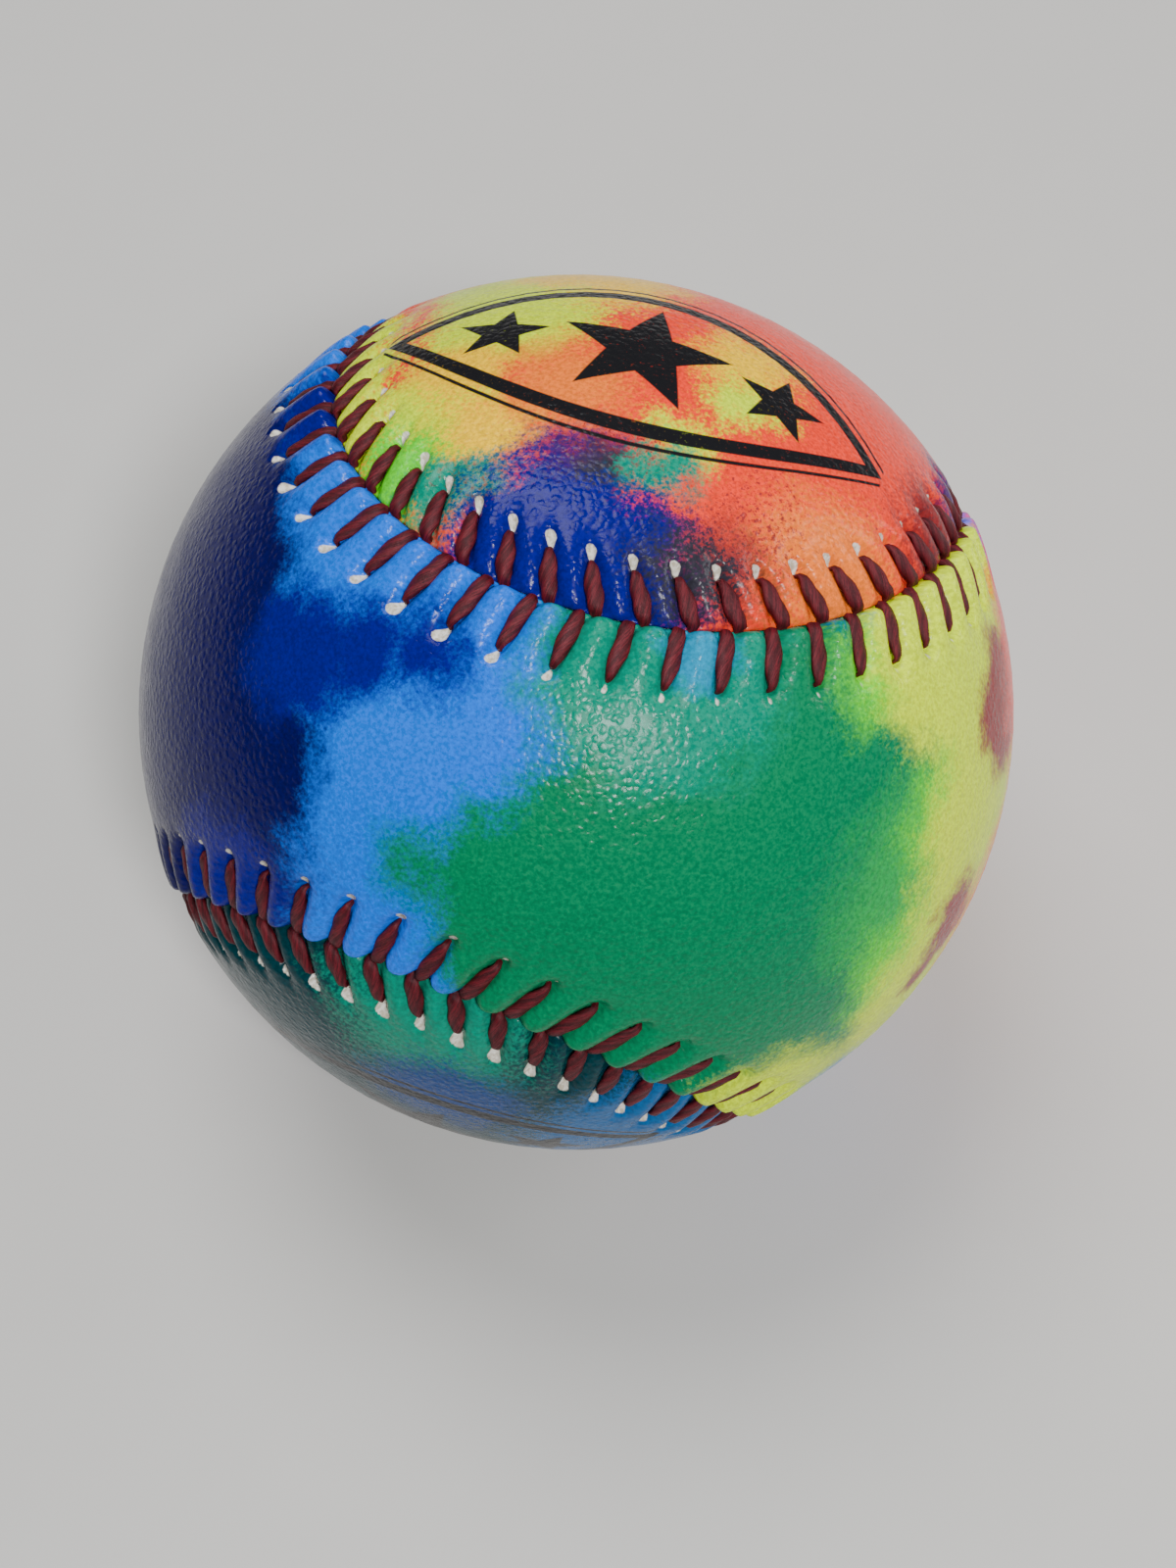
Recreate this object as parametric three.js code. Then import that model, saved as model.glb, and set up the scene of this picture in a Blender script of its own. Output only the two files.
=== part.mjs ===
// A stitched two-panel ball, built from the cork centre out to the seam threads.
import * as THREE from 'three';
import { mergeVertices } from 'three/addons/utils/BufferGeometryUtils.js';

// Driving dimensions in millimetres.
const ballRadius = 37;
const fitGap = 0.3;

// Cork and rubber centre, from the inside out.
const corkRadius = 10.3;
const innerRubberRadius = 14.3;
const outerRubberRadius = 17.45;
const gasketThickness = 0.8;

// Outer radius of each yarn winding, from the inside out.
const windingRadii = [31.2, 32.95, 34.4, 35.1];
const windingOpeningAngle = THREE.MathUtils.degToRad(4);

// Cover panels: full thickness in the field, skived thinner where the thread passes below the rim.
const coverThickness = 1.3;
const coverRimThickness = 0.7;
const coverRimDrop = 0.25;
const seamHalfGap = 0.65;
const holeNearOffset = 4;
const holeFarOffset = 5.2;
const holeLength = 1.5;
const fieldOffset = 8;

// Seam shape: a closed curve on the sphere, lobeSize and riseSize set how far it swings.
const lobeSize = 0.463;
const riseSize = 1.194;
const spineReach = THREE.MathUtils.degToRad(108);
const stitchCount = 108;

// Where the holes lie along the seam, in stitches: hand sewing runs a little ahead, then behind.
const firstHole = 0.675;
const holeDrift = 0.229;
const driftMiddle = 37.6;

// Thread: half width along the seam, half thickness above and below the leather.
const legHalfWidth = 0.5;
const legHalfThickness = 0.3;
const runHalfThickness = 0.2;
const legLift = 0.45;
const apexLift = 0.2;
const apexOffset = 0.1;
const runRadius = ballRadius - 1.15;
const nearApexShift = 1.3;
const farApexShift = 2.4;

// How the ball lies: turns about X, then Y, then Z, in degrees.
const restingTurn = [-147.2, -26.78, 13.39].map(THREE.MathUtils.degToRad);

// Facets of the round inner layers, shared so that neighbouring layers stay parallel.
const facetsAround = 24;
const facetsPoleToPole = 12;

const seamSteps = 4320;
const fullTurn = 2 * Math.PI;
const quarterPi = Math.PI / 4;
const coarseStep = 2;
const coarseRows = 3;

function seamDirection(turn) {
  const point = new THREE.Vector3(
    Math.cos(turn) + lobeSize * Math.cos(3 * turn),
    Math.sin(turn) - lobeSize * Math.sin(3 * turn),
    riseSize * Math.sin(2 * turn),
  );
  return point.normalize();
}

// Arc length from the start of the seam to each of seamSteps points, on a unit sphere.
function measureSeam() {
  const lengths = [0];
  let previous = seamDirection(0);
  for (let step = 1; step <= seamSteps; step += 1) {
    const point = seamDirection((fullTurn * step) / seamSteps);
    lengths.push(lengths[step - 1] + previous.angleTo(point));
    previous = point;
  }
  return lengths;
}

const seamLengths = measureSeam();
const seamLength = seamLengths[seamSteps];
const stitchPitch = (seamLength * ballRadius) / stitchCount;

// The curve parameter at a station, counted in stitches from the start of the seam.
function turnAt(station) {
  const loops = Math.floor(station / stitchCount);
  const wanted = ((station / stitchCount) - loops) * seamLength;
  let low = 0;
  let high = seamSteps;
  while (high - low > 1) {
    const middle = (low + high) >> 1;
    if (seamLengths[middle] <= wanted) low = middle;
    else high = middle;
  }
  const share = (wanted - seamLengths[low]) / (seamLengths[high] - seamLengths[low]);
  return (fullTurn * (low + share)) / seamSteps;
}

// Directions at a station: along the seam, across it into panel A, and out of the ball.
function seamFrame(station) {
  const turn = turnAt(station);
  const small = 1e-4;
  const outward = seamDirection(turn);
  const along = seamDirection(turn + small).sub(seamDirection(turn - small)).normalize();
  const across = new THREE.Vector3().crossVectors(outward, along).normalize();
  return { along, across, outward };
}

// A direction reached by walking offset millimetres off the seam, on the side of panel A or B.
function offsetDirection(station, offset, side = 1) {
  const { across, outward } = seamFrame(station);
  const angle = offset / ballRadius;
  return outward.multiplyScalar(Math.cos(angle)).addScaledVector(across, side * Math.sin(angle));
}

function slerpDirection(from, to, share) {
  const angle = from.angleTo(to);
  const point = from.clone().multiplyScalar(Math.sin((1 - share) * angle));
  return point.addScaledVector(to, Math.sin(share * angle)).normalize();
}

// A growing closed mesh: points and the triangles between them.
function startBody() {
  return { positions: [], triangles: [] };
}

function addPoint(body, point) {
  body.positions.push(point.x, point.y, point.z);
  return body.positions.length / 3 - 1;
}

function addQuad(body, a, b, c, d) {
  body.triangles.push(a, b, c, a, c, d);
}

function bodyGeometry(body) {
  const geometry = new THREE.BufferGeometry();
  geometry.setAttribute('position', new THREE.Float32BufferAttribute(body.positions, 3));
  geometry.setIndex(body.triangles);
  geometry.computeVertexNormals();
  return geometry;
}

// Joins two rings of points, each listed in station order, with one band of triangles.
function bridgeRings(body, near, far, facesOut) {
  const nearCount = near.stations.length;
  const farCount = far.stations.length;
  const stationOf = (ring, index) => {
    const count = ring.stations.length;
    return ring.stations[index % count] + stitchCount * Math.floor(index / count);
  };
  let nearIndex = 0;
  let farIndex = 0;
  while (nearIndex < nearCount || farIndex < farCount) {
    const nearStation = stationOf(near, nearIndex + 1);
    const farStation = stationOf(far, farIndex + 1);
    const takeNear = farIndex >= farCount || (nearIndex < nearCount && nearStation <= farStation);
    const a = near.points[nearIndex % nearCount];
    const b = far.points[farIndex % farCount];
    const next = takeNear ? near.points[(nearIndex + 1) % nearCount] : far.points[(farIndex + 1) % farCount];
    if (facesOut) body.triangles.push(a, next, b);
    else body.triangles.push(a, b, next);
    if (takeNear) nearIndex += 1;
    else farIndex += 1;
  }
}

function stationList(count, place) {
  return Array.from({ length: count }, (_, index) => place(index));
}

const rimStations = stationList(stitchCount, (stitch) => stitch);
const fieldStations = stationList(stitchCount / coarseStep, (rib) => 0.5 + coarseStep * rib);

function holeStation(stitch) {
  const evenly = stitch + firstHole;
  return evenly + holeDrift * Math.cos((fullTurn * (evenly - driftMiddle)) / stitchCount);
}

// Panel B lies turned over, so its holes are met in the opposite order.
const holeMiddles = rimStations.map(holeStation);
const turnedHoleMiddles = holeMiddles.map((station) => stitchCount - station).reverse();

function holeEdges(middles) {
  const halfLength = holeLength / 2 / stitchPitch;
  return middles.flatMap((middle) => [middle - halfLength, middle + halfLength]);
}

// Where a rib of panel A meets the panel's middle line. Ribs from both edges share these points.
function spineDirection(station) {
  const angle = spineReach * Math.sin(turnAt(station) - quarterPi);
  const sideways = Math.sin(angle) * Math.SQRT1_2;
  return new THREE.Vector3(-sideways, sideways, Math.cos(angle));
}

function mirrorRib(rib) {
  const ribCount = fieldStations.length;
  const lobeEndSum = (3 * stitchCount) / 4 / coarseStep - 0.5;
  return (((lobeEndSum - rib) % ribCount) + ribCount) % ribCount;
}

function addRing(body, stations, offset, radius) {
  const points = stations.map((station) => {
    return addPoint(body, offsetDirection(station, offset).multiplyScalar(radius));
  });
  return { stations, points };
}

// One face of the panel, outer or inner, as rings from the rim to the middle line.
function addPanelFace(body, holeStations, facesOut) {
  const rimRadius = facesOut ? ballRadius - coverRimDrop : ballRadius - coverRimThickness;
  const bandRadius = facesOut ? ballRadius : ballRadius - coverRimThickness;
  const fieldRadius = facesOut ? ballRadius : ballRadius - coverThickness;
  const rim = addRing(body, rimStations, seamHalfGap, rimRadius);
  const holeNear = addRing(body, holeStations, holeNearOffset, bandRadius);
  const holeFar = addRing(body, holeStations, holeFarOffset, bandRadius);
  const field = addRing(body, fieldStations, fieldOffset, fieldRadius);
  bridgeRings(body, rim, holeNear, facesOut);
  for (let edge = 1; edge < holeStations.length; edge += 2) {
    const next = (edge + 1) % holeStations.length;
    const corners = [holeNear.points[edge], holeNear.points[next], holeFar.points[next], holeFar.points[edge]];
    addQuad(body, ...(facesOut ? corners : corners.reverse()));
  }
  bridgeRings(body, holeFar, field, facesOut);
  let previous = field;
  for (let row = 1; row < coarseRows; row += 1) {
    const points = fieldStations.map((station) => {
      const start = offsetDirection(station, fieldOffset);
      const direction = slerpDirection(start, spineDirection(station), row / coarseRows);
      return addPoint(body, direction.multiplyScalar(fieldRadius));
    });
    const ring = { stations: fieldStations, points };
    bridgeRings(body, previous, ring, facesOut);
    previous = ring;
  }
  const spinePoints = [];
  fieldStations.forEach((station, rib) => {
    const twin = mirrorRib(rib);
    spinePoints[rib] = twin < rib
      ? spinePoints[twin]
      : addPoint(body, spineDirection(station).multiplyScalar(fieldRadius));
  });
  bridgeRings(body, previous, { stations: fieldStations, points: spinePoints }, facesOut);
  return { rim, holeNear, holeFar };
}

// A cover panel: two faces, the rim wall between them and the four walls of every stitch hole.
function coverPanelGeometry(middles) {
  const body = startBody();
  const holeStations = holeEdges(middles);
  const outer = addPanelFace(body, holeStations, true);
  const inner = addPanelFace(body, holeStations, false);
  const addWall = (ring, from, to, otherRing = ring) => {
    addQuad(
      body,
      outer[ring].points[from],
      outer[otherRing].points[to],
      inner[otherRing].points[to],
      inner[ring].points[from],
    );
  };
  rimStations.forEach((_, index) => addWall('rim', (index + 1) % stitchCount, index));
  for (let start = 0; start < holeStations.length; start += 2) {
    addWall('holeNear', start, start + 1);
    addWall('holeNear', start + 1, start + 1, 'holeFar');
    addWall('holeFar', start + 1, start);
    addWall('holeFar', start, start, 'holeNear');
  }
  return bodyGeometry(body);
}

// One point of a thread's path and its four-sided section there.
// Lean holds the section's offsets across the seam and out of the ball.
function addThreadSection(body, place, side, halfThickness, lean) {
  const { along, across, outward } = seamFrame(place.station);
  const angle = place.offset / ballRadius;
  const upward = outward.clone().multiplyScalar(Math.cos(angle)).addScaledVector(across, side * Math.sin(angle));
  const sideways = across.clone().multiplyScalar(side * Math.cos(angle)).addScaledVector(outward, -Math.sin(angle));
  const centre = upward.clone().multiplyScalar(place.radius);
  const width = along.clone().multiplyScalar(legHalfWidth);
  const slant = sideways.multiplyScalar(lean[0]).addScaledVector(upward, lean[1]);
  slant.multiplyScalar(side * halfThickness);
  return [
    addPoint(body, centre.clone().add(width)),
    addPoint(body, centre.clone().add(slant)),
    addPoint(body, centre.clone().sub(width)),
    addPoint(body, centre.clone().sub(slant)),
  ];
}

// A seam thread changes panel at every stitch: up through a hole, over the rim and down the seam.
function seamThreadGeometry(firstSide) {
  const body = startBody();
  const sections = [];
  const holeMiddle = (holeNearOffset + holeFarOffset) / 2;
  for (let stitch = 0; stitch < stitchCount; stitch += 1) {
    const side = stitch % 2 === 0 ? firstSide : -firstSide;
    const hole = holeMiddles[stitch];
    const apex = hole + (side > 0 ? nearApexShift : farApexShift) / stitchPitch;
    const steps = [
      [{ station: hole, offset: holeMiddle, radius: runRadius }, runHalfThickness, [-1, 1]],
      [{ station: hole, offset: holeMiddle, radius: ballRadius + legLift }, legHalfThickness, [-1, -1]],
      [{ station: apex, offset: apexOffset, radius: ballRadius + apexLift }, legHalfThickness, [1, -1]],
      [{ station: apex, offset: 0, radius: runRadius }, runHalfThickness, [1, -1]],
    ];
    steps.forEach(([place, halfThickness, lean]) => {
      sections.push(addThreadSection(body, place, side, halfThickness, lean));
    });
  }
  sections.forEach((section, index) => {
    const next = sections[(index + 1) % sections.length];
    section.forEach((corner, edge) => {
      const other = (edge + 1) % section.length;
      addQuad(body, corner, next[edge], next[other], section[other]);
    });
  });
  return bodyGeometry(body);
}

// Points of an arc in the profile plane, by angle up from the bottom pole.
function arcPoints(radius, angles) {
  return angles.map((angle) => new THREE.Vector2(radius * Math.sin(angle), -radius * Math.cos(angle)));
}

function revolve(profile) {
  const lathe = new THREE.LatheGeometry(profile, facetsAround);
  lathe.rotateX(Math.PI / 2);
  lathe.deleteAttribute('normal');
  lathe.deleteAttribute('uv');
  const geometry = dropThinTriangles(mergeVertices(lathe, 1e-3));
  geometry.computeVertexNormals();
  return geometry;
}

// Triangles that collapse where a profile meets the axis are left out.
function dropThinTriangles(geometry) {
  const index = geometry.getIndex().array;
  const kept = [];
  for (let start = 0; start < index.length; start += 3) {
    const [a, b, c] = index.slice(start, start + 3);
    if (a !== b && b !== c && c !== a) kept.push(a, b, c);
  }
  geometry.setIndex(kept);
  return geometry;
}

const latitudeStep = Math.PI / facetsPoleToPole;

function corkCentreGeometry() {
  const angles = stationList(facetsPoleToPole + 1, (row) => row * latitudeStep);
  const profile = arcPoints(corkRadius, angles);
  profile[0].x = 0;
  profile[facetsPoleToPole].x = 0;
  return revolve(profile);
}

// Half of a round shell, above a flat rim that stands off the middle plane.
function halfShellGeometry(innerRadius, outerRadius, rimHeight) {
  const rowCount = facetsPoleToPole / 2;
  const anglesFor = (radius) => {
    const rimAngle = Math.PI / 2 + Math.asin(rimHeight / radius);
    return [rimAngle, ...stationList(rowCount, (row) => Math.PI / 2 + (row + 1) * latitudeStep)];
  };
  const outerArc = arcPoints(outerRadius, anglesFor(outerRadius));
  const innerArc = arcPoints(innerRadius, anglesFor(innerRadius)).reverse();
  outerArc[rowCount].x = 0;
  innerArc[0].x = 0;
  return revolve([...innerArc, ...outerArc]);
}

function gasketGeometry() {
  const inside = corkRadius + 2 * fitGap;
  const outside = innerRubberRadius - fitGap;
  const half = gasketThickness / 2;
  return revolve([
    new THREE.Vector2(inside, -half),
    new THREE.Vector2(outside, -half),
    new THREE.Vector2(outside, half),
    new THREE.Vector2(inside, half),
    new THREE.Vector2(inside, -half),
  ]);
}

// A wound layer: a round shell with a small opening at the top where the yarn's end is tucked in.
function windingGeometry(innerRadius, outerRadius) {
  const rows = stationList(facetsPoleToPole, (row) => row * latitudeStep);
  const angles = [...rows, Math.PI - windingOpeningAngle];
  const outerArc = arcPoints(outerRadius, angles);
  const innerArc = arcPoints(innerRadius, angles).reverse();
  outerArc[0].x = 0;
  innerArc[facetsPoleToPole].x = 0;
  return revolve([...outerArc, ...innerArc]);
}

const cork = new THREE.MeshStandardMaterial({ color: 0xa9794b, roughness: 0.9, metalness: 0 });
const blackRubber = new THREE.MeshStandardMaterial({ color: 0x1d1c1e, roughness: 0.7, metalness: 0 });
const redRubber = new THREE.MeshStandardMaterial({ color: 0x9c2f28, roughness: 0.65, metalness: 0 });
const greyWool = new THREE.MeshStandardMaterial({ color: 0x85827c, roughness: 0.95, metalness: 0 });
const whiteWool = new THREE.MeshStandardMaterial({ color: 0xe6e1d5, roughness: 0.95, metalness: 0 });
const whiteCotton = new THREE.MeshStandardMaterial({ color: 0xf1eee6, roughness: 0.9, metalness: 0 });
const warmLeather = new THREE.MeshStandardMaterial({ color: 0xc9512c, roughness: 0.42, metalness: 0 });
const coolLeather = new THREE.MeshStandardMaterial({ color: 0x3f86b4, roughness: 0.42, metalness: 0 });
const seamThread = new THREE.MeshStandardMaterial({ color: 0x6e2029, roughness: 0.6, metalness: 0 });

const ball = new THREE.Group();
ball.rotation.set(...restingTurn, 'ZYX');

function addPiece(name, geometry, material, turnAboutX = 0) {
  const mesh = new THREE.Mesh(geometry, material);
  mesh.name = name;
  mesh.rotation.x = turnAboutX;
  ball.add(mesh);
}

function addCentre() {
  addPiece('cork_center', corkCentreGeometry(), cork);
  addPiece('rubber_gasket_ring', gasketGeometry(), redRubber);
  const layers = [
    ['inner_rubber_shell', corkRadius + fitGap, innerRubberRadius, gasketThickness / 2 + fitGap, blackRubber],
    ['outer_rubber_shell', innerRubberRadius + fitGap, outerRubberRadius, fitGap / 2, redRubber],
  ];
  layers.forEach(([name, innerRadius, outerRadius, rimHeight, material]) => {
    addPiece(`${name}_a`, halfShellGeometry(innerRadius, outerRadius, rimHeight), material);
    addPiece(`${name}_b`, halfShellGeometry(innerRadius, outerRadius, rimHeight), material, Math.PI);
  });
}

function addWindings() {
  const names = ['winding_1_grey_wool', 'winding_2_white_wool', 'winding_3_grey_wool', 'winding_4_cotton'];
  const materials = [greyWool, whiteWool, greyWool.clone(), whiteCotton];
  let innerRadius = outerRubberRadius + fitGap;
  names.forEach((name, layer) => {
    addPiece(name, windingGeometry(innerRadius, windingRadii[layer]), materials[layer]);
    innerRadius = windingRadii[layer] + fitGap;
  });
}

// Panel B is the same shape as panel A, turned over about the X axis.
function addCover() {
  addPiece('cover_panel_a', coverPanelGeometry(holeMiddles), warmLeather);
  addPiece('cover_panel_b', coverPanelGeometry(turnedHoleMiddles), coolLeather, Math.PI);
}

function addThreads() {
  addPiece('seam_thread_1', seamThreadGeometry(1), seamThread);
  addPiece('seam_thread_2', seamThreadGeometry(-1), seamThread.clone());
}

addCentre();
addWindings();
addCover();
addThreads();

const part = new THREE.Group();
part.add(ball);

export default part;
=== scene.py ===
# A stitched two-panel ball: cork and rubber centre, wound yarn, tie-dyed cover and waxed thread.
# Everything is in metres in the part's own frame, with the ball's centre at the origin.
import math

import bmesh
import bpy
import numpy as np
from mathutils import Euler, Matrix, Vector


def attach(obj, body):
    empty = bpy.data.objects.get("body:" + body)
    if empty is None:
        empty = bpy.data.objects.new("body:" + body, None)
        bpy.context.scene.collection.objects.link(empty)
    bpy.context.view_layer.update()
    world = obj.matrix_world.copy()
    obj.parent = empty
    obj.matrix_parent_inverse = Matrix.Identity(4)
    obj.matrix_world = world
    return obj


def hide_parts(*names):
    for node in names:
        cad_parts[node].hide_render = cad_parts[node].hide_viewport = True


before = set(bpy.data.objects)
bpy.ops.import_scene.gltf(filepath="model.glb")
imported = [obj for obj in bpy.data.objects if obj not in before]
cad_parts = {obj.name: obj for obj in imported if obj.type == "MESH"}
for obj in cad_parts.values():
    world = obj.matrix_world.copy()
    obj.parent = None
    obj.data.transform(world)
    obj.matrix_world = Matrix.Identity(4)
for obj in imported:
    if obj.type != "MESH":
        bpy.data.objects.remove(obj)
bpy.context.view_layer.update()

mm = 0.001

ball = {
    "radius": 0.037,
    "lies": (-147.2, -26.78, 13.39),  # turned about X, then Y, then Z
    "seamLobe": 0.463,
    "seamRise": 1.194,
    "spineReach": 108.0,
    "stitches": 108,
    "firstHole": {1: 0.745, -1: 0.605},  # in stitches from where the seam starts, on each panel
    "holeDrift": 0.229,  # hand sewing runs a little ahead, then behind
    "driftFrom": 37.6,
}


# places on the ball
def place(right, above):
    # a direction, in degrees right of and above the middle of the side that faces the camera
    sideways = math.radians(right)
    upward = math.radians(above)
    tip = math.radians(view["looksDown"])
    local = (
        math.cos(upward) * math.sin(sideways),
        math.sin(upward),
        math.cos(upward) * math.cos(sideways),
    )
    return Vector((
        local[0],
        local[1] * math.sin(tip) - local[2] * math.cos(tip),
        local[1] * math.cos(tip) + local[2] * math.sin(tip),
    ))


def unit(rows):
    return rows / np.linalg.norm(rows, axis=-1, keepdims=True)


def smooth(low, high, value):
    share = np.clip((value - low) / (high - low), 0, 1)
    return share * share * (3 - 2 * share)


layBall = np.array(Euler([math.radians(turn) for turn in ball["lies"]], "XYZ").to_matrix()).T


def seamCurve(turn):
    lobe = ball["seamLobe"]
    points = np.stack([
        np.cos(turn) + lobe * np.cos(3 * turn),
        np.sin(turn) - lobe * np.sin(3 * turn),
        ball["seamRise"] * np.sin(2 * turn),
    ], axis=-1)
    return unit(points)


seamTurns = np.linspace(0, 2 * math.pi, 8641)
seamSteps = np.linalg.norm(np.diff(seamCurve(seamTurns), axis=0), axis=-1)
seamLengths = np.concatenate([[0], np.cumsum(seamSteps)])
stitchPitch = seamLengths[-1] * ball["radius"] / ball["stitches"]


def turnAt(station):
    share = np.mod(station, ball["stitches"]) / ball["stitches"]
    return np.interp(share * seamLengths[-1], seamLengths, seamTurns)


def seamFrames(station):
    # out of the ball, along the seam, and across it into the first panel
    turn = turnAt(station)
    outward = seamCurve(turn)
    along = unit(seamCurve(turn + 1e-4) - seamCurve(turn - 1e-4))
    across = np.cross(outward, along)
    return outward @ layBall, along @ layBall, across @ layBall


def sewnPlace(station, side):
    # whole numbers fall on the panel's stitch holes
    lag = 2 * math.pi * (station - ball["driftFrom"]) / ball["stitches"]
    return station - ball["firstHole"][side] - ball["holeDrift"] * np.cos(lag)


def holeStation(stitch, side):
    evenly = stitch + ball["firstHole"][side]
    return evenly + stitch - sewnPlace(evenly, side)


# mesh and material helpers
def makeMesh(name, points, faces, material, floats=None, vectors=None):
    mesh = bpy.data.meshes.new(name)
    mesh.from_pydata(points.tolist(), [], faces)
    mesh.polygons.foreach_set("use_smooth", [True] * len(mesh.polygons))
    for key, values in (floats or {}).items():
        layer = mesh.attributes.new(key, "FLOAT", "POINT")
        layer.data.foreach_set("value", np.asarray(values, np.float32))
    for key, values in (vectors or {}).items():
        layer = mesh.attributes.new(key, "FLOAT_VECTOR", "POINT")
        layer.data.foreach_set("vector", np.asarray(values, np.float32).ravel())
    mesh.update()
    piece = bpy.data.objects.new(name, mesh)
    bpy.context.scene.collection.objects.link(piece)
    mesh.materials.append(material)
    return piece


def standIn(piece, node):
    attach(piece, "root")
    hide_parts(node)


def startMaterial(name):
    material = bpy.data.materials.new(name)
    material.use_nodes = True
    shader = material.node_tree.nodes["Principled BSDF"]
    return material, material.node_tree, shader


def add(tree, kind, inputs=(), **settings):
    node = tree.nodes.new("ShaderNode" + kind)
    for key, value in settings.items():
        setattr(node, key, value)
    for key, value in dict(inputs).items():
        if isinstance(value, bpy.types.NodeSocket):
            tree.links.new(value, node.inputs[key])
        else:
            node.inputs[key].default_value = value
    return node


def math1(tree, operation, *values):
    return add(tree, "Math", enumerate(values), operation=operation).outputs[0]


def mixColour(tree, share, first, second, blend="MIX"):
    inputs = {0: share, 6: first, 7: second}
    return add(tree, "Mix", inputs, data_type="RGBA", blend_type=blend).outputs[2]


def ramp(tree, value, low, high, start=0.0, end=1.0):
    inputs = {0: value, 1: low, 2: high, 3: start, 4: end}
    return add(tree, "MapRange", inputs, interpolation_type="SMOOTHSTEP").outputs[0]


def noise(tree, vector, scale, detail=2.0, roughness=0.5, seed=0.0):
    inputs = {"Vector": vector, "W": seed, "Scale": scale, "Detail": detail, "Roughness": roughness}
    return add(tree, "TexNoise", inputs, noise_dimensions="4D")


def attribute(tree, name, output="Fac"):
    return add(tree, "Attribute", attribute_name=name).outputs[output]


def onBall(tree):
    # the point's direction from the ball's centre
    coords = add(tree, "TexCoord").outputs["Object"]
    return add(tree, "VectorMath", {0: coords}, operation="NORMALIZE").outputs[0]


def rgba(colour):
    return (*colour, 1.0)


# camera, floor and light
view = {
    "looksDown": 62.0,
    "lens": 58.5,
    "from": (0.0262, -2.8872, 5.0887),  # in ball radii from the ball's centre
    "stepBack": 1.01,
}


def makeCamera():
    lens = bpy.data.cameras.new("camera")
    lens.lens = view["lens"]
    lens.sensor_width = 36.0
    lens.clip_start = 0.01
    camera = bpy.data.objects.new("camera", lens)
    camera.location = Vector(view["from"]) * ball["radius"] * view["stepBack"]
    camera.rotation_euler = (math.radians(90 - view["looksDown"]), 0, 0)
    bpy.context.scene.collection.objects.link(camera)
    bpy.context.scene.camera = camera


studio = {
    "floorSize": 1.6,
    "floorColour": (0.58, 0.57, 0.55),
    "world": 0.12,
    "lamps": [
        # name, degrees right and above the camera side, distance, size, watts
        ("keyLamp", 11, -5, 0.75, 0.15, 5.0),
        ("skyLamp", -15, 45, 0.9, 0.5, 5.5),
        ("rightLamp", 75, 25, 0.8, 0.35, 2.0),
    ],
}


def makeStudio():
    floorMaterial, tree, shader = startMaterial("paleFloor")
    coords = add(tree, "TexCoord").outputs["Object"]
    grain = noise(tree, coords, 90.0, 4.0)
    base = rgba(studio["floorColour"])
    paler = rgba([min(1.0, 1.05 * channel) for channel in studio["floorColour"]])
    tree.links.new(mixColour(tree, grain.outputs[0], base, paler), shader.inputs["Base Color"])
    shader.inputs["Roughness"].default_value = 0.7
    half = studio["floorSize"] / 2
    low = -ball["radius"]
    corners = np.array([(-half, -half, low), (half, -half, low), (half, half, low), (-half, half, low)])
    floor = makeMesh("floor", corners, [(0, 1, 2, 3)], floorMaterial)
    for name, right, above, distance, size, watts in studio["lamps"]:
        light = bpy.data.lights.new(name, "AREA")
        light.shape = "DISK"
        light.size = size
        light.energy = watts
        lamp = bpy.data.objects.new(name, light)
        towards = place(right, above)
        lamp.location = towards * distance
        lamp.rotation_euler = towards.to_track_quat("Z", "Y").to_euler()
        bpy.context.scene.collection.objects.link(lamp)
    world = bpy.data.worlds.new("studio")
    world.use_nodes = True
    sky = world.node_tree.nodes["Background"]
    sky.inputs["Color"].default_value = (1.0, 1.0, 1.0, 1.0)
    sky.inputs["Strength"].default_value = studio["world"]
    bpy.context.scene.world = world


makeCamera()
makeStudio()
print("camera, floor and light are up")

# leather cover
cover = {
    "ribsPerStitch": 14,
    "thickness": 1.3 * mm,
    "edge": {1: 0.46 * mm, -1: -0.42 * mm},  # the second panel's edge laps over the seam
    "holeOffset": 4.35 * mm,
    "grooveDepth": {1: 1.0 * mm, -1: 1.35 * mm},
    "grooveFloor": 0.16,  # share of half a stitch that lies flat under the thread
    "grooveReach": (2.6 * mm, 6.6 * mm),  # where the grooves begin to fade, and where they end
    "puff": {1: 0.1 * mm, -1: 0.34 * mm},
    "tuck": {1: 0.7 * mm, -1: 0.0},  # how far the first panel's edge sinks under the second's
    "endRadius": {1: 1.3 * mm, -1: 0.7 * mm},
    "endDrop": {1: 0.45 * mm, -1: 1.4 * mm},
    "endNotch": 1.1 * mm,
    "fingerRoundness": 0.72,
    "deepest": 1.25 * mm,
    "tipOffset": 5.0 * mm,
    "tipTaper": 0.9 * mm,
    "seed": 8,
}
# radius of the bare tip beyond the holes, by stitch around the seam, on each panel
bareTips = {
    1: ([0, 30, 40, 50, 68, 76, 86, 94, 104], [0.5, 0.66, 0.66, 0.5, 0.45, 0.6, 0.58, 0.5, 0.42]),
    -1: ([0, 30, 36, 41, 46, 60, 84, 94, 96, 100], [0.2, 0.0, 0.05, 0.42, 0.42, 0.4, 0.54, 0.54, 0.24, 0.12]),
}
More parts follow.
